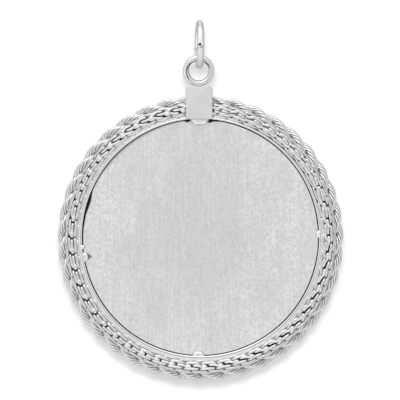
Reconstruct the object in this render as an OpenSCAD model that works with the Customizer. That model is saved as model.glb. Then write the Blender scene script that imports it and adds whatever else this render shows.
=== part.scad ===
// Disc pendant: a plain disc in a bezel with four prongs, two rope borders,
// a flat tab with an eyelet on the back, and a jump ring.
// Millimetres. +Z up, the back (tab side) faces -Y. Origin: inside top of the jump ring.

/* [Disc] */
// radius of the disc
disc_radius = 13.48; // [13.3:0.01:13.49]
// thickness of the disc
disc_thickness = 0.8; // [0.5:0.05:0.8]
// depth of the disc's back face behind the middle of the inner rope
disc_back = 0.35; // [0.2:0.01:0.36]
// rise of the disc and its seat above the middle of the ropes
disc_rise = 0.12; // [0:0.01:0.14]

/* [Bezel] */
// inner radius of the bezel band
bezel_inner = 13.53; // [13.52:0.01:13.56]
// outer radius of the bezel band
bezel_outer = 13.9; // [13.85:0.01:13.91]
// back edge of the band, behind the middle of the inner rope
bezel_back = 0.58; // [0.55:0.01:0.62]
// inner radius of the front lip
lip_radius = 12.75; // [12.4:0.05:13]
// outer radius of the front lip, behind the inner rope
lip_outer = 14.15; // [13.95:0.01:14.16]
// thickness of the front lip
lip_thickness = 0.3; // [0.2:0.01:0.4]

/* [Prongs] */
// direction of the left prong, clockwise from the top as seen from the back
prong_left_angle = 260.6; // [257:0.1:263]
// direction of the bottom prong
prong_bottom_angle = 181; // [178:0.1:184]
// direction of the right prong
prong_right_angle = 88.2; // [85:0.1:91]
// width of the left prong
prong_left_width = 1.1; // [0.9:0.05:1.3]
// width of the bottom prong
prong_bottom_width = 1.55; // [1.2:0.05:1.8]
// width of the right prong
prong_right_width = 0.95; // [0.8:0.05:1.2]
// width of the top prong, under the tab
prong_top_width = 2.5; // [2:0.05:2.8]
// radius that the left prong reaches in to
prong_left_reach = 12.75; // [12.6:0.05:13.2]
// radius that the bottom prong reaches in to
prong_bottom_reach = 12.95; // [12.6:0.05:13.2]
// radius that the right prong reaches in to
prong_right_reach = 13.2; // [13:0.05:13.3]
// radius that the top prong reaches in to
prong_top_reach = 12.75; // [12.6:0.05:13.2]
// thickness of the prongs
prong_thickness = 0.2; // [0.15:0.01:0.22]

/* [Inner rope] */
// radius of the circle that the inner rope follows
inner_path = 14.72; // [14.72:0.01:14.74]
// radius of the inner rope itself
inner_rope = 0.76; // [0.7:0.01:0.76]
// depth of the notches between the inner rope's bumps
inner_notch = 0.12; // [0.05:0.01:0.2]

/* [Outer rope] */
// radius of the circle that the outer rope follows
outer_path = 15.385; // [15.37:0.005:15.4]
// radius of the outer rope over its strands
outer_rope = 1; // [0.96:0.01:1]
// distance in depth between the middles of the two ropes
rope_step = 1.66; // [1.65:0.01:1.8]

/* [Tab and eyelet] */
// width of the tab
tab_width = 3.07; // [2.8:0.01:3.3]
// thickness of the tab
tab_thickness = 0.42; // [0.35:0.01:0.5]
// height of the tab's lower edge above the middle of the ropes
tab_bottom = 13.61; // [13.4:0.01:13.8]
// height of the tab's upper edge above the middle of the ropes
tab_top = 17.36; // [17.34:0.01:17.4]
// radius of the tab's upper corners
tab_corner = 0.4; // [0.3:0.05:0.6]
// sideways offset of the tab's middle
tab_offset = -0.165; // [-0.3:0.005:0.1]
// radius of the eyelet's centre line
eyelet_radius = 1.455; // [1.44:0.005:1.47]
// wire diameter of the eyelet
eyelet_wire = 0.68; // [0.66:0.01:0.7]

/* [Jump ring] */
// radius of the jump ring's centre line
ring_radius = 2.37; // [2.36:0.01:2.45]
// wire diameter of the jump ring
ring_wire = 0.82; // [0.76:0.01:0.84]
// turn of the jump ring about the upright axis
ring_yaw = 3; // [0:0.5:4]
// width of the seam where the jump ring's ends meet
ring_seam = 0.05; // [0.03:0.01:0.08]

/* [Hidden] */
$fn = 96;
clearance = 0.05;

// heights, measured from the origin at the inside top of the jump ring
ring_centre_z = -(ring_radius - ring_wire / 2);
ring_inner_bottom_z = 2 * ring_centre_z;
eyelet_hole_top_z = ring_inner_bottom_z + clearance;
eyelet_z = eyelet_hole_top_z - (eyelet_radius - eyelet_wire / 2);
eyelet_outer = eyelet_radius + eyelet_wire / 2;
// the eyelet's foot sinks a little way into the tab's top edge
foot_sink = 0.01;
middle_z = eyelet_z - eyelet_outer - tab_top + foot_sink;
// the jump ring and the eyelet stand over the origin; the ropes' middle lies beside it
middle_x = 0.11;
eyelet_back = 0.04;

// depths, from the middle of the inner rope; the back is -Y
tab_gap = 0.05;
tab_front_y = -(inner_rope + tab_gap);
tab_middle_y = tab_front_y - tab_thickness / 2;
middle_y = eyelet_back - tab_front_y;
eyelet_x = -0.095;
disc_gap = 0.03;
disc_front_y = -disc_back + disc_thickness;
lip_back_y = max(disc_front_y + disc_gap, 0.56);
bezel_front_y = lip_back_y + lip_thickness;
prong_front_y = -disc_back - disc_gap;

// the inner rope: bumps round the ring, and the drift of their spacing
inner_cells = 49;
inner_start = 0.86;
inner_drift = 0.2;
inner_drift_angle = 130;
inner_steps = 196;
inner_points = 12;

// the outer rope: three strands, thirteen turns round the ring
outer_strands = 3;
outer_turns = 13;
outer_cells = outer_strands * outer_turns;
outer_start = 0.045;
outer_drift = 0.09;
outer_drift_angle = 115;
outer_steps = 195;
outer_points = 18;
strand_radius = outer_rope / (1 + 2 / sqrt(3));
strand_offset = outer_rope - strand_radius;
// the creases between strands are filled in to this radius
outer_core = 0.6 * outer_rope;

// direction, clockwise from the top, of a place counted in pattern cells
function place(s, cells, start, drift, towards) =
    let (rough = 360 * (s + start) / cells)
    360 * (s + start + drift * cos(rough - towards)) / cells;

// a point of a rope that follows a circle: path radius, direction, section radius and angle
function rope_point(path, a, rho, psi, y0) =
    let (r = path + rho * cos(psi))
    [r * sin(a), y0 - rho * sin(psi), r * cos(a)];

// half a cosine wave: 0 at a bump, 1 at a notch
function notch(u) = (1 - cos(360 * u)) / 2;

// section radius of the inner rope: bumps on the crown and, half a cell on, on the flanks
function inner_rho(psi, s) =
    inner_rope - inner_notch * (pow(sin(psi), 2) * notch(s - 0.5) + pow(cos(psi), 2) * notch(s));

// section radius of the outer rope at an angle from the middle of its nearest strand
function strand_rho(phi) =
    let (inside = pow(strand_radius, 2) - pow(strand_offset * sin(phi), 2))
    max(outer_core, strand_offset * cos(phi) + sqrt(max(0, inside)));

// angle from the middle of the nearest strand, from -60 to 60
function from_strand(theta) = (theta % 120 + 120) % 120 - 60;

// a crease lies at section angle 0, so that it meets the outline where a cell starts
function outer_rho(theta) = strand_rho(from_strand(theta));

// faces of a closed tube made of rings of points
function tube_faces(steps, points) = [
    for (i = [0 : steps - 1], j = [0 : points - 1])
        let (
            i2 = (i + 1) % steps,
            j2 = (j + 1) % points,
            p = i * points + j,
            q = i * points + j2,
            r = i2 * points + j2,
            t = i2 * points + j
        )
        each [[p, r, q], [p, t, r]]
];

// everything below the jump ring is built round the middle of the ropes
module at_middle() {
    translate([middle_x, middle_y, middle_z]) children();
}

// a cylinder along the depth direction
module depth_disc(r, y1, y2) {
    translate([0, y2, 0]) rotate([90, 0, 0]) cylinder(r = r, h = y2 - y1);
}

// a tongue in from the band over the disc's edge, with a rounded end
module prong(angle, width, reach) {
    rotate([0, angle, 0])
        translate([0, prong_front_y, 0])
            rotate([90, 0, 0])
                linear_extrude(height = prong_thickness)
                    union() {
                        translate([-width / 2, reach + width / 4])
                            square([width, bezel_inner + 0.1 - reach - width / 4]);
                        translate([-width / 4, reach])
                            square([width / 2, width / 4 + 0.05]);
                        translate([-width / 4, reach + width / 4]) circle(r = width / 4);
                        translate([width / 4, reach + width / 4]) circle(r = width / 4);
                    }
}

// the plain plate in the middle
module disc() {
    color([0.84, 0.84, 0.83])
        at_middle() translate([0, 0, disc_rise])
            depth_disc(disc_radius, -disc_back, disc_front_y);
}

// the band with its front lip and its four prongs
module bezel() {
    color([0.8, 0.8, 0.8])
        at_middle() {
            difference() {
                union() {
                    depth_disc(bezel_outer, -bezel_back, bezel_front_y);
                    depth_disc(lip_outer, lip_back_y, bezel_front_y);
                }
                translate([0, 0, disc_rise]) {
                    depth_disc(bezel_inner, -bezel_back - 1, disc_front_y + disc_gap);
                    depth_disc(lip_radius, -bezel_back - 1, bezel_front_y + 1);
                }
            }
            translate([0, 0, disc_rise]) {
                prong(prong_left_angle, prong_left_width, prong_left_reach);
                prong(prong_bottom_angle, prong_bottom_width, prong_bottom_reach);
                prong(prong_right_angle, prong_right_width, prong_right_reach);
                prong(0, prong_top_width, prong_top_reach);
            }
        }
}

// the rope next to the bezel
module rope_inner() {
    pts = [
        for (i = [0 : inner_steps - 1])
            let (
                s = i * inner_cells / inner_steps,
                a = place(s, inner_cells, inner_start, inner_drift, inner_drift_angle)
            )
            for (j = [0 : inner_points - 1])
                let (psi = 360 * j / inner_points)
                rope_point(inner_path, a, inner_rho(psi, s), psi, 0)
    ];
    color([0.78, 0.78, 0.78])
        at_middle() polyhedron(points = pts, faces = tube_faces(inner_steps, inner_points));
}

// the three-strand rope outside it, set toward the front
module rope_outer() {
    pts = [
        for (i = [0 : outer_steps - 1])
            let (
                s = i * outer_cells / outer_steps,
                a = place(s, outer_cells, outer_start, outer_drift, outer_drift_angle),
                twist = 120 * s
            )
            for (j = [0 : outer_points - 1])
                let (theta = 360 * j / outer_points)
                rope_point(outer_path, a, outer_rho(theta), theta + twist, rope_step)
    ];
    color([0.75, 0.75, 0.75])
        at_middle() polyhedron(points = pts, faces = tube_faces(outer_steps, outer_points));
}

// outline of the tab, with rounded top corners
module tab_outline() {
    union() {
        translate([-tab_width / 2, tab_bottom])
            square([tab_width, tab_top - tab_corner - tab_bottom]);
        translate([-tab_width / 2 + tab_corner, tab_bottom])
            square([tab_width - 2 * tab_corner, tab_top - tab_bottom]);
        for (side = [-1, 1])
            translate([side * (tab_width / 2 - tab_corner), tab_top - tab_corner])
                circle(r = tab_corner);
    }
}

// the tab on the back with the eyelet soldered to its top edge
module bail_tab() {
    color([0.82, 0.82, 0.81]) {
        at_middle()
            translate([tab_offset, tab_front_y, 0])
                rotate([90, 0, 0])
                    linear_extrude(height = tab_thickness) tab_outline();
        translate([eyelet_x, 0, eyelet_z])
            rotate([90, 0, 0])
                rotate_extrude() translate([eyelet_radius, 0]) circle(d = eyelet_wire);
        // solder foot between the eyelet and the tab
        translate([eyelet_x, middle_y + tab_middle_y + 0.06, eyelet_z - eyelet_outer + 0.02])
            rotate([0, 90, 0])
                translate([0, 0, -0.4]) cylinder(r = 0.17, h = 0.8);
    }
}

// the ring that the pendant hangs from, seen edge-on, with a seam on the back
module jump_ring() {
    color([0.78, 0.78, 0.78])
        translate([0, 0, ring_centre_z])
            rotate([0, 0, ring_yaw])
                difference() {
                    rotate([0, 90, 0])
                        rotate_extrude() translate([ring_radius, 0]) circle(d = ring_wire);
                    translate([0, -ring_radius, -0.42])
                        cube([2, 2, ring_seam], center = true);
                }
}

disc();
bezel();
rope_inner();
rope_outer();
bail_tab();
jump_ring();
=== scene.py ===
"""Disc pendant, seen from its back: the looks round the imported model.

The two rope borders are built again here wire by wire, and the disc, the bezel, the
prongs, the tab and the eyelet with finer edges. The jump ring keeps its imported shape
and gets its metal. Metres, +Z up, back at -Y. Directions are clockwise from the top,
as seen from the back.
"""
import math

import bpy
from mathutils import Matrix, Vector


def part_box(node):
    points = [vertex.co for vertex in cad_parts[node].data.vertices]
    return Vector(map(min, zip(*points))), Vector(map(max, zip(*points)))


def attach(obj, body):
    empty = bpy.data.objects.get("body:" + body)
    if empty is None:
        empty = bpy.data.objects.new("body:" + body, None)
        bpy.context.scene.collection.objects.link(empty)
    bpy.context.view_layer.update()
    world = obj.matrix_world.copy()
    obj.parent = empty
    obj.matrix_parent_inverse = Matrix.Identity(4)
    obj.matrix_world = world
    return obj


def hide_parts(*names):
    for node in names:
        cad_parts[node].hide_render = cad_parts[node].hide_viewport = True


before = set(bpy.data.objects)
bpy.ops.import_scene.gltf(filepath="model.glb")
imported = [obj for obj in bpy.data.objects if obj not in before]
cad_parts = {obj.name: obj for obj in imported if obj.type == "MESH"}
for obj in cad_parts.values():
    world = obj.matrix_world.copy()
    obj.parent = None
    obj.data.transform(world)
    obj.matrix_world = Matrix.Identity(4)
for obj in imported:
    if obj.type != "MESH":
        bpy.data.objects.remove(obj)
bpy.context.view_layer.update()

MM = 0.001
TAU = 2 * math.pi


# Places taken from the frame

def box_of(node):
    """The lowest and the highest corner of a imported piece."""
    low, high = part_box(node)
    return Vector(low), Vector(high)


inner_low, inner_high = box_of("rope_inner")
outer_low, outer_high = box_of("rope_outer")
disc_low, disc_high = box_of("disc")
bezel_low, bezel_high = box_of("bezel")
tab_low, _ = box_of("bail_tab")

# radii of the ropes and of the circles that they follow
INNER_ROPE = 0.76 * MM
OUTER_ROPE = 1.0 * MM
INNER_PATH = 14.72 * MM
OUTER_PATH = 15.385 * MM
# the middle of both circles, at the inner rope's depth, and the outer rope's depth
MIDDLE = Vector((0.11 * MM, (inner_low.y + inner_high.y) / 2, -24.13 * MM))
OUTER_Y = (outer_low.y + outer_high.y) / 2

DISC = (disc_low + disc_high) / 2
DISC_RADIUS = (disc_high.x - disc_low.x) / 2
DISC_BACK = disc_low.y


# Numbers and places

def smooth_step(low, high, value):
    """0 up to low, 1 from high on and smooth between them."""
    t = min(max((value - low) / (high - low), 0), 1)
    return t * t * (3 - 2 * t)


def near(degrees, centre, width, gain=1):
    """1 at a direction, falling to 0 at width degrees from it. A gain over 1 flattens the top."""
    away = abs((degrees - centre + 180) % 360 - 180)
    return min(1, gain * (1 - smooth_step(0, width, away)))


def on_ring(angle, radius, y, middle=MIDDLE):
    """The point of a ring in a direction."""
    return Vector((middle.x + radius * math.sin(angle), y, middle.z + radius * math.cos(angle)))


def seen_from_back(point):
    """Direction and distance of a point from the middle of the ropes."""
    x, z = point.x - MIDDLE.x, point.z - MIDDLE.z
    return math.atan2(x, z), math.hypot(x, z)


class Pattern:
    """The cells of a rope, a little wider on one side of its ring than on the other."""

    def __init__(self, cells, start, drift, drift_to):
        self.cells = cells
        self.start = start
        self.drift = drift
        self.drift_to = math.radians(drift_to)

    def angle(self, s):
        """The direction of a place counted in cells."""
        rough = TAU * (s + self.start) / self.cells
        return TAU * (s + self.start + self.drift * math.cos(rough - self.drift_to)) / self.cells


INNER = Pattern(cells=49, start=0.86, drift=0.2, drift_to=130)
OUTER = Pattern(cells=39, start=-0.01, drift=0.09, drift_to=115)


# Meshes

class Surface:
    """Rows of points joined into one mesh. Each point carries a darkness, 0 to 1, that its material paints
    on: painted shade in crevices, seams and shadows, partly tarnish.
    """

    def __init__(self):
        self.vertices, self.faces, self.shade_and_tarnish = [], [], []

    def row(self, points, shade_and_tarnish):
        """Adds points, with one darkness for all or a list of them, and returns their numbers."""
        first = len(self.vertices)
        self.vertices += points
        self.shade_and_tarnish += shade_and_tarnish if isinstance(shade_and_tarnish, list) else [shade_and_tarnish] * len(points)
        return range(first, first + len(points))

    def join(self, one, other):
        """Faces between two closed rows."""
        for k in range(len(one)):
            n = (k + 1) % len(one)
            self.faces.append((one[k], one[n], other[n], other[k]))

    def skin(self, rows):
        """Faces from each closed row to the next."""
        for one, other in zip(rows, rows[1:]):
            self.join(one, other)

    def fill(self, row):
        """One face inside a closed row."""
        self.faces.append(tuple(row))

    def fan(self, row, point, shade_and_tarnish):
        """Faces from a closed row to a point."""
        tip = len(self.vertices)
        self.vertices.append(point)
        self.shade_and_tarnish.append(shade_and_tarnish)
        for k in range(len(row)):
            self.faces.append((row[k], row[(k + 1) % len(row)], tip))

    def tube(self, path, radius, sides, shade_and_tarnish_at, closed=False, taper=0.0):
        """A round wire along a path of points, thinner by the share taper at its ends."""
        count = len(path)
        turns = [TAU * k / sides for k in range(sides)]
        rings = []
        normal = None
        for i, point in enumerate(path):
            before = path[i - 1] if i or closed else point
            after = path[(i + 1) % count] if i < count - 1 or closed else point
            along = (after - before).normalized()
            if normal is None:
                normal = along.orthogonal()
            normal = (normal - along * normal.dot(along)).normalized()
            across = along.cross(normal)
            reach = radius * (1 - taper * (2 * i / (count - 1) - 1) ** 2)
            ring = [point + (normal * math.cos(t) + across * math.sin(t)) * reach for t in turns]
            rings.append(self.row(ring, [shade_and_tarnish_at(i, vertex) for vertex in ring]))
        self.skin(rings)
        if closed:
            # join the end to the start at the turn where the two rings of points meet best
            last = self.vertices[rings[-1][0]]
            shift = min(range(sides), key=lambda k: (self.vertices[rings[0][k]] - last).length)
            self.join(rings[-1], [rings[0][(k + shift) % sides] for k in range(sides)])
        else:
            self.fill(rings[0][::-1])
            self.fill(rings[-1])

    def make(self, name, material, sharp=None):
        """The mesh as an object. Edges that turn by more than sharp degrees look hard."""
        mesh = bpy.data.meshes.new(name)
        mesh.from_pydata(self.vertices, [], self.faces)
        mesh.materials.append(material)
        mesh.polygons.foreach_set("use_smooth", [True] * len(self.faces))
        # the painted shade, partly tarnish, is stored on the mesh for its material
        mesh.attributes.new("shade_and_tarnish", "FLOAT", "POINT").data.foreach_set("value", self.shade_and_tarnish)
        mesh.update()
        if sharp:
            mesh.set_sharp_from_angle(angle=math.radians(sharp))
        thing = bpy.data.objects.new(name, mesh)
        bpy.context.collection.objects.link(thing)
        return thing


def dress(thing, node, stands_for=True):
    """Puts a piece on the pendant's body, in a node's place or beside the piece that has it."""
    if stands_for:
        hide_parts(node)
    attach(thing, "pendant")


# Materials

def grey(value):
    return (value, value, value, 1)


class Nodes:
    """Short ways to add nodes to a tree. Each takes numbers or outputs and returns an output."""

    def __init__(self, tree):
        self.tree = tree

    def feed(self, node, inputs):
        """Links outputs to a node's inputs, or sets plain values on them."""
        for name, value in inputs.items():
            if isinstance(value, bpy.types.NodeSocket):
                self.tree.links.new(value, node.inputs[name])
            else:
                node.inputs[name].default_value = value

    def ranged(self, value, start, end, low, high):
        """Goes smoothly from low to high while the value goes from start to end."""
        node = self.tree.nodes.new("ShaderNodeMapRange")
        node.interpolation_type = "SMOOTHSTEP"
        self.feed(node, {"Value": value, "From Min": start, "From Max": end, "To Min": low, "To Max": high})
        return node.outputs[0]

    def maths(self, operation, first, second):
        node = self.tree.nodes.new("ShaderNodeMath")
        node.operation = operation
        self.feed(node, {0: first, 1: second})
        return node.outputs[0]

    def apart(self, value, middle):
        """How far a value is from a middle one."""
        return self.maths("ABSOLUTE", self.maths("SUBTRACT", value, middle), 0.0)


class Metal(Nodes):
    """A metal whose colour, roughness and bump come from noise in the object's own space."""

    def __init__(self, name):
        self.material = bpy.data.materials.new(name)
        self.material.use_nodes = True
        super().__init__(self.material.node_tree)
        self.shader = self.tree.nodes["Principled BSDF"]
        self.feed(self.shader, {"Metallic": 1})
        self.place = self.tree.nodes.new("ShaderNodeTexCoord").outputs["Object"]
        self.normal = None

    def noise(self, size, detail):
        """Noise with grains of a size in mm along X, Y and Z."""
        stretch = self.tree.nodes.new("ShaderNodeMapping")
        self.feed(stretch, {"Vector": self.place, "Scale": [1 / (s * MM) for s in size]})
        texture = self.tree.nodes.new("ShaderNodeTexNoise")
        self.feed(texture, {"Vector": stretch.outputs[0], "Scale": 1, "Detail": detail})
        return texture.outputs["Fac"]

    def distance(self, point, upright):
        """Distance from a point, with heights multiplied by upright."""
        x, y, z = point
        squash = self.tree.nodes.new("ShaderNodeMapping")
        self.feed(squash, {"Vector": self.place, "Scale": (1, 1, upright)})
        node = self.tree.nodes.new("ShaderNodeVectorMath")
        node.operation = "DISTANCE"
        self.feed(node, {0: squash.outputs[0], 1: (x, y, z * upright)})
        return node.outputs["Value"]

    def along(self, axis):
        """How far along X, Y or Z a place lies."""
        node = self.tree.nodes.new("ShaderNodeSeparateXYZ")
        self.feed(node, {0: self.place})
        return node.outputs[axis]

    def blend(self, light, dark, factor):
        """Light where the factor is 0, dark where it is 1."""
        node = self.tree.nodes.new("ShaderNodeMix")
        node.data_type = "RGBA"
        self.feed(node, {"A": light, "B": dark, "Factor": factor})
        return node.outputs["Result"]

    def shaded_and_tarnished(self, colour):
        """A colour, darkened where the mesh carries its painted darkness: painted shade in crevices, seams
        and shadows, partly tarnish.
        """
        shade_and_tarnish = self.tree.nodes.new("ShaderNodeAttribute")
        shade_and_tarnish.attribute_name = "shade_and_tarnish"
        return self.blend(colour, SHADE_AND_TARNISH_COLOUR, shade_and_tarnish.outputs["Fac"])

    def bump(self, height, strength, depth):
        """Raises the surface by up to depth mm, on top of the bumps made before."""
        node = self.tree.nodes.new("ShaderNodeBump")
        self.feed(node, {"Strength": strength, "Distance": depth * MM, "Height": height})
        if self.normal:
            self.feed(node, {"Normal": self.normal})
        self.normal = node.outputs["Normal"]

    def finished(self, colour, roughness):
        """The material, with its colour, roughness and bumps in place."""
        self.feed(self.shader, {"Base Color": colour, "Roughness": roughness})
        if self.normal:
            self.feed(self.shader, {"Normal": self.normal})
        return self.material


# the dark of painted shade and of tarnish
SHADE_AND_TARNISH_COLOUR = grey(0.03)


def polished_silver(name, roughness, grain, tone, worn):
    """Polished metal with faint wear in grains of a size in mm."""
    metal = Metal(name)
    wear = metal.noise((grain, grain, grain), detail=3)
    silver = metal.blend(grey(tone), grey(worn), metal.ranged(wear, 0.35, 0.75, 0.0, 1.0))
    ripple = 0.7 * grain
    metal.bump(metal.noise((ripple, ripple, ripple), detail=4), strength=0.15, depth=0.06 * grain)
    shine = metal.ranged(wear, 0.3, 0.7, 0.8 * roughness, 1.3 * roughness)
    return metal.finished(metal.shaded_and_tarnished(silver), shine)


def satin_silver():
    """The disc: a fine upright grain, mottled handling marks and a duller middle, which is a painted dark
    reflection.
    """
    metal = Metal("satin silver")
    streaks = metal.noise((0.16, 0.16, 7.0), detail=3)
    bands = metal.noise((1.1, 1.1, 14.0), detail=3)
    marks = metal.noise((0.28, 0.28, 0.34), detail=5)
    patches = metal.noise((1.4, 1.4, 2.0), detail=4)
    clouds = metal.noise((4.5, 4.5, 5.0), detail=3)
    # the grain shows most left of the middle, the marks at the sides
    aside = metal.apart(metal.along("X"), DISC.x - 2.5 * MM)
    grained = metal.ranged(aside, 3.0 * MM, 10.0 * MM, 0.55, 0.3)
    marked = metal.ranged(aside, 3.0 * MM, 9.0 * MM, 0.55, 1.0)
    # a dull belt at half height fades out to the right
    belt = metal.ranged(metal.apart(metal.along("Z"), DISC.z - 0.6 * MM), 0.0, 4.0 * MM, 0.2, 0.0)
    leftward = metal.ranged(metal.along("X"), DISC.x + 3.0 * MM, DISC.x + 10.0 * MM, 1.0, 0.1)
    # painted dark reflection: the disc is duller towards a place a little left of and above its middle
    middle = metal.distance((DISC.x - 0.4 * MM, DISC_BACK, DISC.z + 1.6 * MM), 0.6)
    # how strongly each layer dulls the metal, and the grey that it tends to
    layers = [
        (metal.maths("MULTIPLY", metal.ranged(marks, 0.34, 0.66, 1.0, 0.0), marked), 0.85),
        (metal.ranged(patches, 0.4, 0.62, 0.0, 0.28), 0.8),
        (metal.ranged(clouds, 0.38, 0.62, 0.0, 0.34), 0.76),
        (metal.ranged(bands, 0.4, 0.6, 0.0, 0.22), 0.74),
        (metal.maths("MULTIPLY", metal.ranged(streaks, 0.4, 0.64, 0.0, 1.0), grained), 0.72),
        (metal.maths("MULTIPLY", belt, leftward), 0.72),
        (metal.ranged(middle, 2.0 * MM, 10.5 * MM, 0.54, 0.0), 0.74),
    ]
    silver = grey(1.0)
    for strength, dull in layers:
        silver = metal.blend(silver, grey(dull), strength)
    metal.bump(streaks, strength=0.3, depth=0.012)
    metal.bump(metal.noise((0.2, 0.2, 0.3), detail=3), strength=0.15, depth=0.01)
    return metal.finished(metal.shaded_and_tarnished(silver), metal.ranged(marks, 0.3, 0.7, 0.38, 0.48))


def matte_silver():
    """The tab: fine blasted metal."""
    metal = Metal("matte silver")
    grain = metal.noise((0.2, 0.2, 0.28), detail=4)
    clouds = metal.noise((1.5, 1.5, 1.2), detail=3)
    silver = metal.blend(grey(0.785), grey(0.75), metal.ranged(clouds, 0.35, 0.65, 0.0, 1.0))
    metal.bump(grain, strength=0.25, depth=0.012)
    return metal.finished(metal.shaded_and_tarnished(silver), metal.ranged(grain, 0.3, 0.7, 0.45, 0.6))


# the height of the jump ring's seam, where its ends meet on the back, and a pit in its solder, whose shade
# is painted
SEAM_Z = -2.38 * MM
PIT = (0.03 * MM, -2.74 * MM, -2.08 * MM)


def ring_silver():
    """The jump ring: polished above, filed flat and matte below its seam, with a solder pit painted dark as
    shade.
    """
    metal = Metal("ring silver")
    height = metal.along("Z")
    wear = metal.noise((0.3, 0.3, 0.5), detail=4)
    filed = metal.ranged(height, SEAM_Z - 0.1 * MM, SEAM_Z + 0.12 * MM, 1.0, 0.0)
    scuffed = metal.maths("MULTIPLY", filed, metal.ranged(wear, 0.3, 0.6, 0.7, 1.0))
    silver = metal.blend(grey(0.94), grey(0.86), scuffed)
    # the ragged seam line
    wobble = metal.ranged(metal.noise((0.22, 0.22, 0.3), detail=3), 0.35, 0.65, -0.2 * MM, 0.2 * MM)
    beside = metal.apart(metal.maths("ADD", height, wobble), SEAM_Z)
    silver = metal.blend(silver, grey(0.2), metal.ranged(beside, 0.05 * MM, 0.12 * MM, 1.0, 0.0))
    # painted shade of the pit in the solder
    pit = metal.ranged(metal.distance(PIT, 1.4), 0.14 * MM, 0.26 * MM, 1.0, 0.0)
    silver = metal.blend(silver, SHADE_AND_TARNISH_COLOUR, pit)
    metal.bump(wear, strength=0.2, depth=0.015)
    matte_below = metal.maths("MULTIPLY", filed, 0.4)
    return metal.finished(silver, metal.maths("ADD", metal.ranged(wear, 0.3, 0.7, 0.1, 0.2), matte_below))


def shade_core_silver():
    """The dark inside of the inner rope: painted shade seen through its holes."""
    metal = Metal("tarnished silver")
    silver = metal.blend(SHADE_AND_TARNISH_COLOUR, grey(0.06), metal.noise((0.3, 0.3, 0.3), detail=3))
    return metal.finished(silver, 0.6)


polished = polished_silver("polished silver", roughness=0.16, grain=0.35, tone=0.86, worn=0.8)
wire_silver = polished_silver("wire silver", roughness=0.15, grain=0.3, tone=0.88, worn=0.79)
chain_silver = polished_silver("chain silver", roughness=0.16, grain=0.3, tone=0.82, worn=0.69)
prong_silver = polished_silver("prong silver", roughness=0.34, grain=0.3, tone=0.95, worn=0.88)
satin = satin_silver()
matte = matte_silver()
shaded_and_tarnished = shade_core_silver()

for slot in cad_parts["jump_ring"].material_slots:
    slot.material = ring_silver()


# The outer rope

# It is three strands of wires. One cell of its pattern is a lobe of the rope.
STRANDS = 3
WIRES = 7
STRAND = OUTER_ROPE / (1 + 2 / math.sqrt(3))
STRAND_OFFSET = OUTER_ROPE - STRAND
WIRE = STRAND * math.sin(math.pi / WIRES) / (1 + math.sin(math.pi / WIRES))
WIRE_REACH = STRAND - WIRE
# how much thicker than that a wire is made, so that neighbours touch all along
WIRE_SNUG = 1.02
# how many places a wire moves on round its strand in one lobe
LAY = 4
OUTER_STEPS = 12 * OUTER.cells
# distances from a strand's middle between which a wire turns from painted shade, partly tarnish, to bright
OUTER_DARK = WIRE_REACH * math.cos(math.pi / WIRES)
OUTER_BRIGHT = OUTER_DARK + 0.8 * WIRE
# painted shade in the crevice where a strand comes out from under the next: its place in the lobe, how far
# it lies outside the rope's circle, its half length and half width, and how far it slants outward
CREVICE_PLACE = 0.48
CREVICE_OUT = 0.27 * MM
CREVICE_LENGTH = 0.28 * MM
CREVICE_WIDTH = 0.16 * MM
CREVICE_SLANT = 0.35


def outer_place(strand, step):
    """Place in lobes, direction, and how far outward and back a strand's middle is."""
    s = step * OUTER.cells / OUTER_STEPS
    # a crease meets the outline at s = 0, so a strand's middle is half a lobe on
    turn = math.radians(120) * (s + strand + 0.5)
    return s, OUTER.angle(s), STRAND_OFFSET * math.cos(turn), STRAND_OFFSET * math.sin(turn)


def crevice_shade(step, vertex):
    """How much painted shade a vertex gets in a crevice between two strands, 0 to 1. There are none in
    front.
    """
    if vertex.y >= OUTER_Y:
        return 0.0
    angle, radius = seen_from_back(vertex)
    s, start, _, _ = outer_place(0, step)
    ahead = (angle - start + math.pi) % TAU - math.pi
    lobes = (s + ahead * OUTER.cells / TAU - CREVICE_PLACE + 0.5) % 1 - 0.5
    along = lobes * TAU * radius / OUTER.cells
    out = radius - OUTER_PATH - CREVICE_OUT - CREVICE_SLANT * along
    away = math.hypot(along / CREVICE_LENGTH, out / CREVICE_WIDTH)
    depth = 0.42 + 0.45 * near(math.degrees(angle), 50, 85)
    return depth * (1 - smooth_step(0.35, 1.0, away))


def outer_shade_and_tarnish(middle, step, turn, vertex):
    """Painted shade between a strand's wires, partly tarnish, less so where it crosses the rope's back, and
    in crevices.
    """
    between = 1 - smooth_step(OUTER_DARK, OUTER_BRIGHT, (vertex - middle).length)
    between *= 1 - 0.85 * near(math.degrees(turn), 68, 80, 1.3)
    return max(between, crevice_shade(step, vertex))


def add_strand(surface, strand):
    """The wires of one strand. A wire ends where another starts, so some are one long curve."""
    left = set(range(WIRES))
    while left:
        points, places = [], []
        wire = min(left)
        while wire in left:
            left.remove(wire)
            for step in range(OUTER_STEPS):
                s, angle, out, back = outer_place(strand, step)
                own = TAU * (wire + 0.5 - LAY * s) / WIRES
                points.append(on_ring(angle, OUTER_PATH + out + WIRE_REACH * math.cos(own),
                                      OUTER_Y - back - WIRE_REACH * math.sin(own)))
                middle = on_ring(angle, OUTER_PATH + out, OUTER_Y - back)
                places.append((middle, step, math.atan2(back, out)))
            wire = (wire - LAY * OUTER.cells) % WIRES
        surface.tube(points, WIRE_SNUG * WIRE, 8,
                     lambda i, vertex: outer_shade_and_tarnish(*places[i], vertex), closed=True)


outer_wires = Surface()
for strand in range(STRANDS):
    add_strand(outer_wires, strand)
dress(outer_wires.make("outer_rope_wires", wire_silver), "rope_outer")


# The inner rope

# It is a plait of looped wire with four faces, each half a cell on from the next. On a face a
# wide nose starts past a hole; a narrow bar rises from behind it and runs to the next hole; a
# stouter wire runs along on either side of the bar and past the next nose. The plait rolls on
# its way round, and its holes are drawn out into slits in places.
FACES = 4
CORE = 0.36 * MM
CORE_STEPS = 4 * INNER.cells
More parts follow.
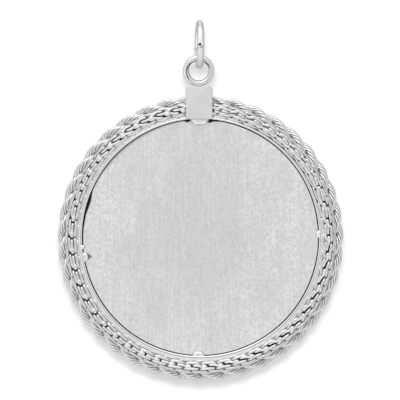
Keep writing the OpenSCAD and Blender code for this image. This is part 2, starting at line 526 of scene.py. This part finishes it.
# distances from the rope's middle between which a wire turns from painted shade, partly tarnish, to bright
INNER_DARK = 0.47 * MM
INNER_BRIGHT = 0.7 * MM


def roll(degrees):
    """How far outward the back face's middle lies, in mm."""
    return -0.05 - 0.11 * near(degrees, 150, 75)


def twin(degrees):
    """Where two slits run side by side, 0 to 1."""
    return near(degrees, 330, 36)


def slant(degrees):
    """Where bars lean outward and noses inward, 0 to 1."""
    return near(degrees, 76, 26)


def bar_slit(degrees):
    """How far the hole at a bar's end is drawn back along the bar, 0 to 1."""
    return min(0.9, near(degrees, 134, 72, 1.6)) + 0.8 * near(degrees, 330, 36, 1.6)


def loop_open(degrees):
    """How far a nose is opened into a loop with a slit in it, 0 to 1."""
    return near(degrees, 36, 50, 1.6)


def side_early(degrees):
    """How far the side wires start ahead of their usual place, 0 to 1."""
    return near(degrees, 256, 48, 1.5) + near(degrees, 45, 62, 1.5)


def side_short(degrees):
    """How far the side wires stop short of each other on the back, 0 to 1."""
    return near(degrees, 256, 48, 1.5) + 0.5 * slant(degrees)


def snug(degrees):
    """How far the grain on the back lies against the bar, 0 to 1."""
    return near(degrees, 48, 56, 1.5)


def leaning(degrees):
    """Where grains lean outward over the back, 0 to 1."""
    return near(degrees, 8, 62)


def sway(degrees, s):
    """How far all wires lean outward at a place in the cell, in mm."""
    inward = bar_slit(degrees) * (0.11 + 0.12 * near(degrees, 112, 35)) * math.sin(math.pi * (s - 0.5)) ** 2
    outward = 0.16 * loop_open(degrees) * math.sin(math.pi * (s - 0.05)) ** 2
    return outward - inward


def slit_push(degrees, along):
    """How far a drawn-out hole pushes a wire aside, 0 to 1."""
    return bar_slit(degrees) * smooth_step(0.5, 0.62, along) * (1 - smooth_step(1.02, 1.15, along))


def twin_push(degrees, along):
    """How far the second slit pushes a wire aside, 0 to 1."""
    return twin(degrees) * smooth_step(0.6, 0.8, along) * (1 - smooth_step(1.2, 1.4, along))


# Each bend says how a wire of the back or front face lies round the ring. It takes and returns
# the place along in cells, aside of the face's middle in mm and above the wire's seat in mm.

def bend_nose(degrees, along, aside, height):
    """A nose is pushed outward beside a slit; a loop is wide, drawn back and sunk at its tip."""
    opened = loop_open(degrees)
    if aside:
        wider = math.copysign(0.12 * opened, aside)
    else:
        wider = 0.0
        height -= 0.3 * opened
    pushed = (0.05 + 0.08 * (1 - smooth_step(0.13, 0.36, along))) * bar_slit(degrees)
    drawn = 0.14 * opened * (1 - smooth_step(0.15, 0.5, along))
    return along - drawn, aside + wider + pushed - 0.1 * slant(degrees), height


def bend_bar(degrees, along, aside, height):
    """A bar gives way to slits, and its start sinks under an opened loop."""
    aside += 0.06 * slant(degrees) - 0.18 * slit_push(degrees, along) - 0.06 * twin_push(degrees, along)
    height -= 0.3 * loop_open(degrees) * (1 - smooth_step(0.42, 0.58, along))
    return along, aside, height


def bend_side(degrees, along, aside, height):
    """A side wire stops short of the next one, and gives way to slits and loops."""
    along -= 0.12 * side_short(degrees) * smooth_step(0.9, 1.3, along)
    spread = 0.1 * loop_open(degrees) * (1 - smooth_step(0.45, 0.65, along))
    if aside > 0:
        aside += 0.07 * slit_push(degrees, along) - 0.16 * twin_push(degrees, along)
        aside += spread + 0.05 * slant(degrees)
    else:
        aside += 0.13 * snug(degrees) - 0.5 * spread
    return along, aside, height


def mirrored(points):
    """The same points on the other side of the face's middle."""
    return [(along, -aside, height) for along, aside, height in points]


# the wires of a face: along (cells), aside (mm, outward on the back), height (mm)
NOSE_SIDE = [(0.54, 0.07, -0.32), (0.46, 0.08, -0.14), (0.36, 0.1, -0.03), (0.24, 0.09, 0.0)]
NOSE = NOSE_SIDE + [(0.13, 0.0, -0.03)] + mirrored(NOSE_SIDE[::-1])
BAR = [(0.34, 0.0, -0.25), (0.42, 0.0, -0.06), (0.56, 0.0, 0.0), (0.76, 0.0, 0.0), (0.91, 0.0, -0.04),
       (0.99, 0.0, -0.25)]
SIDE = [(0.56, 0.3, -0.34), (0.64, 0.32, -0.12), (0.76, 0.34, 0.0), (0.95, 0.34, 0.0), (1.1, 0.36, 0.0),
        (1.26, 0.4, 0.0), (1.42, 0.42, -0.02), (1.52, 0.42, -0.14), (1.6, 0.41, -0.34)]
# on the back a stout grain takes the place of the side wire nearest the disc
GRAIN = [(0.5, -0.5, -0.24), (0.6, -0.5, -0.04), (0.8, -0.51, 0.03), (1.02, -0.52, 0.04),
         (1.24, -0.52, 0.03), (1.42, -0.52, -0.06), (1.52, -0.5, -0.26)]
# a grain that leans outward over the back, near the top
LEAN = [(0.1, 0.22, -0.3), (0.2, 0.3, -0.02), (0.38, 0.44, 0.06), (0.56, 0.6, 0.07), (0.74, 0.76, 0.04),
        (0.86, 0.86, -0.06), (0.94, 0.92, -0.3)]
LEAN_WIRE = 0.17 * MM
# the wire along the rope's inner edge, which lies over the bezel: along (cells), out and back (mm)
EDGE = [(-0.06, -0.7, 0.24), (0.05, -0.72, 0.34), (0.2, -0.74, 0.4), (0.5, -0.74, 0.4), (0.7, -0.72, 0.38),
        (0.84, -0.7, 0.32), (0.94, -0.68, 0.22)]
EDGE_WIRE = 0.13 * MM
# how each wire bends, its course, its radius, how many points it gets and its taper
SIDE_WIRES = [(bend_side, SIDE, 0.16 * MM, 13, 0.15), (bend_side, mirrored(SIDE), 0.16 * MM, 13, 0.15)]
FACE_WIRES = [(bend_nose, NOSE, 0.145 * MM, 17, 0.0), (bend_bar, BAR, 0.155 * MM, 11, 0.0)] + SIDE_WIRES
BACK_WIRES = FACE_WIRES[:3] + [(bend_side, GRAIN, 0.23 * MM, 13, 0.12)]


def spline(t, a, b, c, d):
    """A smooth course from b to c, with a before and d after them."""
    bow = 2 * a - 5 * b + 4 * c - d
    twist = 3 * b - a - 3 * c + d
    return 0.5 * (2 * b + (c - a) * t + bow * t * t + twist * t ** 3)


def curve_through(points, count):
    """A smooth run of points through the given ones."""
    spans = len(points) - 1
    curve = []
    for i in range(count):
        t = i / (count - 1) * spans
        k = min(int(t), spans - 1)
        knots = [points[min(max(j, 0), spans)] for j in range(k - 1, k + 3)]
        curve.append(tuple(spline(t - k, *values) for values in zip(*knots)))
    return curve


def seat_point(angle, face, radius, aside, height):
    """A wire's middle on a face: mm aside of the face's middle and above its seat in the rope."""
    seat = INNER_ROPE - radius + height * MM
    turn = math.pi / 2 + TAU * face / FACES - aside * MM / INNER_ROPE
    return on_ring(angle, INNER_PATH + seat * math.cos(turn), MIDDLE.y - seat * math.sin(turn))


def face_point(cell, face, bend, radius, along, aside, height):
    """A wire's middle on a face, bent as the plait is at its place round the ring."""
    start = cell + 0.5 * (face % 2)
    degrees = math.degrees(INNER.angle(start + along))
    if bend is bend_side:
        along -= 0.36 * side_early(degrees)
    if face % 2 == 0:
        along, aside, height = bend(degrees, along, aside, height)
    s = start + along
    aside += roll(degrees) + sway(degrees, s)
    return seat_point(INNER.angle(s), face, radius, aside, height)


def inner_shade_and_tarnish(i, vertex):
    """Painted shade, partly tarnish, where a wire lies deep in the rope; more so among the leaning grains.
    """
    angle, radius = seen_from_back(vertex)
    depth = math.hypot(radius - INNER_PATH, vertex.y - MIDDLE.y)
    more = 0.06 * MM * leaning(math.degrees(angle))
    return 1 - smooth_step(INNER_DARK + more, INNER_BRIGHT + more, depth)


def add_face(surface, face):
    """The wires of one face of the plait, all round."""
    for cell in range(INNER.cells):
        for bend, course, radius, count, taper in FACE_WIRES if face else BACK_WIRES:
            path = [face_point(cell, face, bend, radius, *point) for point in curve_through(course, count)]
            surface.tube(path, radius, 8, inner_shade_and_tarnish, taper=taper)


def add_edge_wires(surface):
    """The wires along the rope's inner edge, bowed at the upper right to lie against the grains."""
    for cell in range(INNER.cells):
        path = []
        for along, out, back in curve_through(EDGE, 11):
            angle = INNER.angle(cell + along)
            out += snug(math.degrees(angle)) * (0.09 + 0.07 * (2 * along - 0.88) ** 2)
            path.append(on_ring(angle, INNER_PATH + out * MM, MIDDLE.y - back * MM))
        surface.tube(path, EDGE_WIRE, 8, inner_shade_and_tarnish)


def add_leaning_grains(surface):
    """The grains that lean outward over the back, where the plait has them."""
    end, _, _ = LEAN[-1]
    for cell in range(INNER.cells):
        if leaning(math.degrees(INNER.angle(cell + end))) > 0.2:
            path = [seat_point(INNER.angle(cell + along), 0, LEAN_WIRE, aside, height)
                    for along, aside, height in curve_through(LEAN, 13)]
            surface.tube(path, LEAN_WIRE, 8, inner_shade_and_tarnish, taper=0.2)


inner_wires = Surface()
for face in range(FACES):
    add_face(inner_wires, face)
add_edge_wires(inner_wires)
add_leaning_grains(inner_wires)
dress(inner_wires.make("inner_rope_wires", chain_silver), "rope_inner")

# the dark inside of the chain, painted shade seen through its holes
core = Surface()
core.tube([on_ring(TAU * i / CORE_STEPS, INNER_PATH, MIDDLE.y) for i in range(CORE_STEPS)],
          CORE, 10, lambda i, vertex: 1, closed=True)
dress(core.make("inner_rope_core", shaded_and_tarnished), "rope_inner", stands_for=False)


# The disc

DISC_TURNS = 540
DISC_ANGLES = [TAU * k / DISC_TURNS for k in range(DISC_TURNS)]
# how far the painted shade of the seam reaches in over the disc's edge, in mm, and the places where it is
# wider
# or narrower: direction, how many degrees to either side, and by how many mm
SEAM_SHADE_WIDTH = 0.01
SEAM_SHADE_PLACES = [(325, 34, -0.08), (26, 30, 0.06), (80, 14, 0.03), (130, 45, 0.03), (288, 8, 0.24),
               (280, 13, 0.14), (268, 8, 0.05), (4.4, 2.4, 0.3), (7, 4, 0.12), (353.6, 2.4, 0.25)]
# the left prong: direction (degrees), width, the radius that it reaches in to and its dome (mm)
LEFT_PRONG = (260.4, 1.12, 12.98, 0.16)
# the painted shadow beyond its tip, a wedge, in mm: its half width there, how fast it narrows and leans per
# mm, and where it starts before the tip
WEDGE_HALF, WEDGE_NARROWS, WEDGE_LEANS, WEDGE_START = 0.44, 0.75, 0.14, -0.1
disc_plate = Surface()


def seam_shade_width(degrees):
    """How far the painted shade of the seam reaches in, in mm; it is uneven all round."""
    return SEAM_SHADE_WIDTH + sum(wider * near(degrees, centre, width) for centre, width, wider in SEAM_SHADE_PLACES)


def edge_shade(degrees):
    """The broad grey rim of the disc at its upper left, painted shade, 0 to 1."""
    return 0.42 * near(degrees, 324, 36, 1.4)


def prong_shade(degrees, radius):
    """The painted shadow on the disc, a wedge beyond the tip of the left prong, at a radius in mm."""
    direction, _, reach, _ = LEFT_PRONG
    beyond = reach - radius
    beside = math.radians(degrees - direction) * radius
    inside = WEDGE_HALF - WEDGE_NARROWS * beyond - abs(beside + WEDGE_LEANS * beyond)
    return 0.8 * smooth_step(0, 0.2, inside) * (beyond > WEDGE_START)


def disc_shade(degrees, margin):
    """The darkest of the painted shade of the seam, the grey rim and the wedge, at a margin from the edge
    in mm.
    """
    seam = seam_shade_width(degrees)
    return max(1 - smooth_step(seam - 0.03, seam + 0.05, margin),
               edge_shade(degrees) * (1 - smooth_step(0.05, 0.42, margin)),
               prong_shade(degrees, DISC_RADIUS / MM - margin))


def disc_row(margin, below, shade_and_tarnish):
    """A row of the disc, in mm from its edge and below its back."""
    return disc_plate.row([on_ring(a, DISC_RADIUS - margin * MM, DISC_BACK + below * MM, DISC)
                           for a in DISC_ANGLES], shade_and_tarnish)


# the back from the middle out: the flat part's margins from the edge, and margin and depth
# below the back where the edge is rounded, in mm
FLAT_MARGINS = [5.0, 2.4, 1.7] + [0.1 * k for k in range(15, 4, -1)] + [0.42, 0.35, 0.29, 0.23]
ROUND_ROWS = [(0.17, 0.002), (0.12, 0.008), (0.08, 0.02), (0.04, 0.05), (0.01, 0.1), (0.0, 0.2)]
disc_rows = [disc_row(margin, below, [disc_shade(math.degrees(a), margin) for a in DISC_ANGLES])
             for margin, below in [(margin, 0.0) for margin in FLAT_MARGINS] + ROUND_ROWS]
# the side, with painted shade down in the seam, and the front
THICKNESS = (disc_high.y - disc_low.y) / MM
disc_rows += [disc_row(0.0, THICKNESS - 0.05, 1.0), disc_row(0.05, THICKNESS, 0.5)]
disc_rows += [disc_row(0.6, THICKNESS, 0.0)]
disc_plate.skin(disc_rows)
disc_plate.fan(disc_rows[0][::-1], Vector((DISC.x, DISC_BACK, DISC.z)), 0.0)
disc_plate.fan(disc_rows[-1], Vector((DISC.x, disc_high.y, DISC.z)), 0.0)
dress(disc_plate.make("disc_plate", satin, sharp=50), "disc")


# The bezel's band and its front lip

BEZEL_INNER = 13.53 * MM
BEZEL_OUTER = 13.9 * MM
BEZEL_BACK = bezel_low.y
LIP_RADIUS, LIP_OUTER = 12.75 * MM, 14.15 * MM
LIP_BACK, LIP_FRONT = bezel_high.y - 0.3 * MM, bezel_high.y
LIP_EDGE = 0.05 * MM
BEZEL_TURNS = 360
BEZEL_ANGLES = [TAU * k / BEZEL_TURNS for k in range(BEZEL_TURNS)]
band = Surface()


def band_row(share, below, shade_and_tarnish):
    """A row of the band, mm below its back edge: share 0 is its inner wall, 1 its outer one."""
    y = BEZEL_BACK + below * MM
    points = [on_ring(a, BEZEL_INNER, y, DISC).lerp(on_ring(a, BEZEL_OUTER, y), share)
              for a in BEZEL_ANGLES]
    # the painted shade on the wall is lighter beside the disc's grey rim
    return band.row(points, [shade_and_tarnish * (1 - 1.3 * edge_shade(math.degrees(a))) for a in BEZEL_ANGLES])


def lip_row(radius, y):
    """A row of the lip, centred on the disc inside the band and on the ropes outside it."""
    middle = DISC if radius < BEZEL_OUTER else MIDDLE
    return band.row([on_ring(a, radius, y, middle) for a in BEZEL_ANGLES], 0.0)


# share across the band, depth below its back edge (mm), and painted shade: dark down the inner wall, grey
# under the rope
BAND_ROWS = [(0.0, 1.1, 1.0), (0.0, 0.27, 1.0), (0.0, 0.21, 0.2), (0.03, 0.1, 0.0), (0.1, 0.03, 0.0),
             (0.25, 0.0, 0.0), (0.5, 0.0, 0.0), (0.75, 0.01, 0.0), (0.92, 0.05, 0.0), (1.05, 0.12, 0.0),
             (1.17, 0.21, 0.0), (1.27, 0.32, 0.0), (1.2, 0.5, 0.2), (1.0, 0.6, 0.3), (1.0, 1.1, 0.3)]
# radius and depth of the lip
LIP_ROWS = [(LIP_OUTER, LIP_BACK), (LIP_OUTER, LIP_FRONT - LIP_EDGE), (LIP_OUTER - LIP_EDGE, LIP_FRONT),
            (LIP_RADIUS + LIP_EDGE, LIP_FRONT), (LIP_RADIUS, LIP_FRONT - LIP_EDGE), (LIP_RADIUS, LIP_BACK)]
band_rows = [band_row(*row) for row in BAND_ROWS] + [lip_row(*row) for row in LIP_ROWS]
band.skin(band_rows + band_rows[:1])
dress(band.make("bezel_band", polished, sharp=60), "bezel")


# The prongs

# the columns are those of LEFT_PRONG; the last is a bead of metal beside it
PRONGS = [LEFT_PRONG, (181.0, 1.45, 12.95, 0.18), (88.4, 0.95, 13.15, 0.2), (359.6, 2.3, 12.78, 0.18),
          (265.3, 0.52, 13.22, 0.3)]
# the radius that the prongs start from and how far they lie above the disc, in mm
PRONG_ROOT = 13.72
PRONG_LIFT = 0.01
PRONG_ACROSS, PRONG_ALONG = 12, 14
prongs = Surface()


def prong_point(direction, beside, radius, height):
    """A prong's point: beside its middle line, out from the disc's middle and above its seat."""
    angle = math.radians(direction) + beside / radius
    return on_ring(angle, radius * MM, DISC_BACK - (PRONG_LIFT + height) * MM, DISC)


def add_prong(direction, width, reach, rise):
    """A tongue folded in over the disc's edge: domed, with a round end."""
    rings = []
    for i in range(PRONG_ALONG):
        t = i / PRONG_ALONG
        radius = PRONG_ROOT + (reach - PRONG_ROOT) * t
        # how far into the round end, which starts half a width before the tip
        beyond = min(max(0.0, (reach + width / 2 - radius) / (width / 2)), 1)
        half = width / 2 * math.sqrt(1 - beyond ** 2.2)
        end = (1 - beyond ** 3) ** 0.5
        points, shade_and_tarnish = [], []
        for k in range(2 * PRONG_ACROSS):
            # over the top from one side to the other, then back underneath
            over = k <= PRONG_ACROSS
            v = 2 * k / PRONG_ACROSS - 1 if over else 3 - 2 * k / PRONG_ACROSS
            dome = rise * end * (1 - abs(v) ** 3) ** 0.6 if over else 0.0
            points.append(prong_point(direction, half * v, radius, dome))
            # painted shade: darker towards the sides and the tip of the top, dark underneath
            shade_and_tarnish.append(0.75 * smooth_step(0.75, 1.0, max(abs(v), t)) if over else 1.0)
        rings.append(prongs.row(points, shade_and_tarnish))
    prongs.skin(rings[::-1])
    prongs.fill(rings[0])
    prongs.fan(rings[-1][::-1], prong_point(direction, 0.0, reach, 0.0), 0.75)


for prong in PRONGS:
    add_prong(*prong)
dress(prongs.make("bezel_prongs", prong_silver, sharp=60), "bezel", stands_for=False)


# The tab

TAB_WIDTH, TAB_THICKNESS = 3.07 * MM, 0.42 * MM
TAB_LEFT = MIDDLE.x - 0.165 * MM - TAB_WIDTH / 2
TAB_RIGHT = TAB_LEFT + TAB_WIDTH
TAB_BOTTOM, TAB_TOP = tab_low.z, MIDDLE.z + 17.36 * MM
TAB_BACK = tab_low.y
TAB_CORNER, TAB_FOOT_CORNER = 0.4 * MM, 0.06 * MM
# the least radius that an inset corner keeps
LEAST_CORNER = 0.01 * MM


def tab_outline(inset):
    """The tab's outline, drawn in by inset, clockwise from the lower left."""
    corners = [(TAB_LEFT, TAB_BOTTOM, TAB_FOOT_CORNER), (TAB_LEFT, TAB_TOP, TAB_CORNER),
               (TAB_RIGHT, TAB_TOP, TAB_CORNER), (TAB_RIGHT, TAB_BOTTOM, TAB_FOOT_CORNER)]
    points = []
    for quarter, (x, z, corner) in enumerate(corners):
        x += corner if x == TAB_LEFT else -corner
        z += corner if z == TAB_BOTTOM else -corner
        reach = max(corner - inset, LEAST_CORNER)
        for k in range(7):
            turn = math.radians(180 + 90 * quarter + 15 * k)
            points.append((x + reach * math.sin(turn), z + reach * math.cos(turn)))
    return points


tab = Surface()
# inset (mm), depth below the back (mm), and painted shade, a grey outline round the edges
TAB_ROWS = [(0.13, 0.0, 0.0), (0.06, 0.01, 0.05), (0.015, 0.035, 0.2), (0.0, 0.08, 0.25), (0.0, 0.37, 0.25),
            (0.03, 0.42, 0.2)]
tab_rows = [tab.row([Vector((x, TAB_BACK + below * MM, z)) for x, z in tab_outline(inset * MM)], shade_and_tarnish)
            for inset, below, shade_and_tarnish in TAB_ROWS]
tab.skin(tab_rows)
tab.fill(tab_rows[0][::-1])
tab.fill(tab_rows[-1])
dress(tab.make("tab_plate", matte, sharp=60), "bail_tab")


# The eyelet and the solder at its foot

EYELET = Vector((-0.095 * MM, 0, -4.985 * MM))
EYELET_RADIUS, EYELET_WIRE = 1.455 * MM, 0.34 * MM
EYELET_STEPS = 96
# a painted dark reflection in a line round the eyelet, a little lower than its middle
DARK_REFLECTION_MIDDLE = EYELET - Vector((0, 0, 0.19 * MM))
DARK_REFLECTION_RADIUS = 1.38 * MM
# the solder: a short bar along the tab's top edge
FOOT_Y = TAB_BACK + TAB_THICKNESS / 2 + 0.06 * MM
FOOT_Z = EYELET.z - EYELET_RADIUS - EYELET_WIRE + 0.02 * MM
FOOT_PLACES = (-0.36, -0.2, 0, 0.2, 0.36)
FOOT_WIRE = 0.13 * MM
eyelet = Surface()


def eyelet_shade_and_reflection(i, vertex):
    """On the back, a painted dark reflection in a line, strongest at the eyelet's upper sides, and painted
    shade on the inner wall.
    """
    if vertex.y >= 0.05 * MM:
        return 0.0
    degrees = 360 * i / EYELET_STEPS
    off_line = abs(math.hypot(vertex.x - DARK_REFLECTION_MIDDLE.x, vertex.z - DARK_REFLECTION_MIDDLE.z) - DARK_REFLECTION_RADIUS)
    inward = EYELET_RADIUS - math.hypot(vertex.x - EYELET.x, vertex.z - EYELET.z)
    strength = 0.2 + 0.9 * near(degrees, 290, 60)
    strength += 0.9 * near(degrees, 55, 36) + 0.7 * near(degrees, 240, 26)
    line = min(strength, 1) * (1 - smooth_step(0.04 * MM, 0.09 * MM, off_line))
    return max(line, 0.55 * smooth_step(0.26 * MM, 0.33 * MM, inward))


eyelet.tube([on_ring(TAU * i / EYELET_STEPS, EYELET_RADIUS, 0, EYELET) for i in range(EYELET_STEPS)],
            EYELET_WIRE, 44, eyelet_shade_and_reflection, closed=True)
# the solder is painted evenly darker
eyelet.tube([Vector((EYELET.x + x * MM, FOOT_Y, FOOT_Z)) for x in FOOT_PLACES],
            FOOT_WIRE, 14, lambda i, vertex: 0.4)
dress(eyelet.make("eyelet", polished, sharp=60), "bail_tab", stands_for=False)


# The studio: a backdrop behind the pendant and a floor below it

SHEET = 1.2
BACKDROP_Y = 0.045


def sheet(name, centre, rotation, material):
    """A sheet of paper. The metal mirrors the room and not the paper."""
    bpy.ops.mesh.primitive_plane_add(size=1, location=centre, rotation=rotation)
    thing = bpy.context.object
    thing.name = name
    thing.scale = (SHEET, SHEET, 1)
    thing.data.materials.append(material)
    thing.visible_glossy = False


def paper(name, tone, glow, one_sided):
    """White paper that glows by itself as strongly as glow; one-sided paper is clear from behind."""
    material = bpy.data.materials.new(name)
    material.use_nodes = True
    nodes = Nodes(material.node_tree)
    shader = nodes.tree.nodes["Principled BSDF"]
    nodes.feed(shader, {"Base Color": grey(tone), "Roughness": 0.9,
                        "Emission Color": grey(1), "Emission Strength": glow})
    if one_sided:
        mix = nodes.tree.nodes.new("ShaderNodeMixShader")
        clear = nodes.tree.nodes.new("ShaderNodeBsdfTransparent")
        geometry = nodes.tree.nodes.new("ShaderNodeNewGeometry")
        nodes.feed(mix, {"Fac": geometry.outputs["Backfacing"], 1: shader.outputs[0], 2: clear.outputs[0]})
        nodes.feed(nodes.tree.nodes["Material Output"], {"Surface": mix.outputs[0]})
    return material


sheet("backdrop", (0, BACKDROP_Y, -0.02), (math.radians(90), 0, 0),
      paper("backdrop paper", tone=0.62, glow=0.0, one_sided=True))
sheet("floor", (0, BACKDROP_Y - SHEET / 2, -0.075), (0, 0, 0),
      paper("floor paper", tone=0.8, glow=0.3, one_sided=False))


# The room's light

# Pale walls, a soft window high on the camera's side and a card overhead. It is dimmer to the
# right, round the camera and behind the paper.
world = bpy.data.worlds.new("studio")
bpy.context.scene.world = world
world.use_nodes = True
room = Nodes(world.node_tree)
looking = room.tree.nodes.new("ShaderNodeTexCoord").outputs["Generated"]


def towards(x, y, z):
    """How close the looked-at part of the room is to a direction, as a cosine."""
    node = room.tree.nodes.new("ShaderNodeVectorMath")
    node.operation = "DOT_PRODUCT"
    room.feed(node, {0: looking, 1: Vector((x, y, z)).normalized()})
    return node.outputs["Value"]


walls = room.ranged(towards(0, 0, 1), -0.3, 0.6, 0.95, 0.9)
window = room.ranged(towards(-0.12, -0.55, 0.83), 0.82, 0.96, 0.0, 0.9)
card = room.ranged(towards(0, 0.62, 0.78), 0.86, 0.95, 0.0, 0.25)
right = room.ranged(towards(1, 0, 0), 0.2, 0.9, 1.0, 0.8)
lens = room.ranged(towards(0, -1, 0), 0.97, 0.994, 1.0, 0.35)
behind = room.maths("ADD", room.ranged(towards(0, 1, 0), -0.05, 0.45, 1.0, 0.52),
                    room.ranged(towards(0, 1, 0), 0.8, 0.97, 0.0, 0.12))
light = room.maths("ADD", walls, window)
for share in (right, lens, behind):
    light = room.maths("MULTIPLY", light, share)
room.feed(room.tree.nodes["Background"], {"Color": grey(1), "Strength": room.maths("ADD", light, card)})


# The lamp that throws the soft shadow on the backdrop, just below the pendant

LAMP = Vector((-0.0004, -0.5, -0.009))
LAMP_TARGET = Vector((0, 0, -0.02))
LAMP_SIZE = 0.012
lamp = bpy.data.lights.new("paper light", "AREA")
lamp.shape = "RECTANGLE"
lamp.size = LAMP_SIZE
lamp.size_y = LAMP_SIZE
lamp.energy = 1.75
paper_light = bpy.data.objects.new("paper light", lamp)
bpy.context.collection.objects.link(paper_light)
paper_light.location = LAMP
paper_light.rotation_euler = (LAMP_TARGET - LAMP).to_track_quat("-Z", "Y").to_euler()
paper_light.visible_glossy = False

bpy.context.scene.view_settings.view_transform = "Standard"


# The camera, which looks straight at the back

# the photograph is 400 pixels across, and the middle of the ropes lies half a pixel right of
# its middle and 38.5 pixels below it
PHOTO_PIXELS = 400
PIXEL = 0.1141 * MM
MIDDLE_RIGHT, MIDDLE_BELOW = 0.5, 38.5
CAMERA_DISTANCE = 0.5
view = bpy.data.cameras.new("camera")
view.sensor_width = 36
view.lens = view.sensor_width * CAMERA_DISTANCE / (PHOTO_PIXELS * PIXEL)
camera = bpy.data.objects.new("camera", view)
bpy.context.collection.objects.link(camera)
camera.location = (MIDDLE.x - MIDDLE_RIGHT * PIXEL, inner_low.y - CAMERA_DISTANCE,
                   MIDDLE.z + MIDDLE_BELOW * PIXEL)
camera.rotation_euler = (math.radians(90), 0, 0)
bpy.context.scene.camera = camera
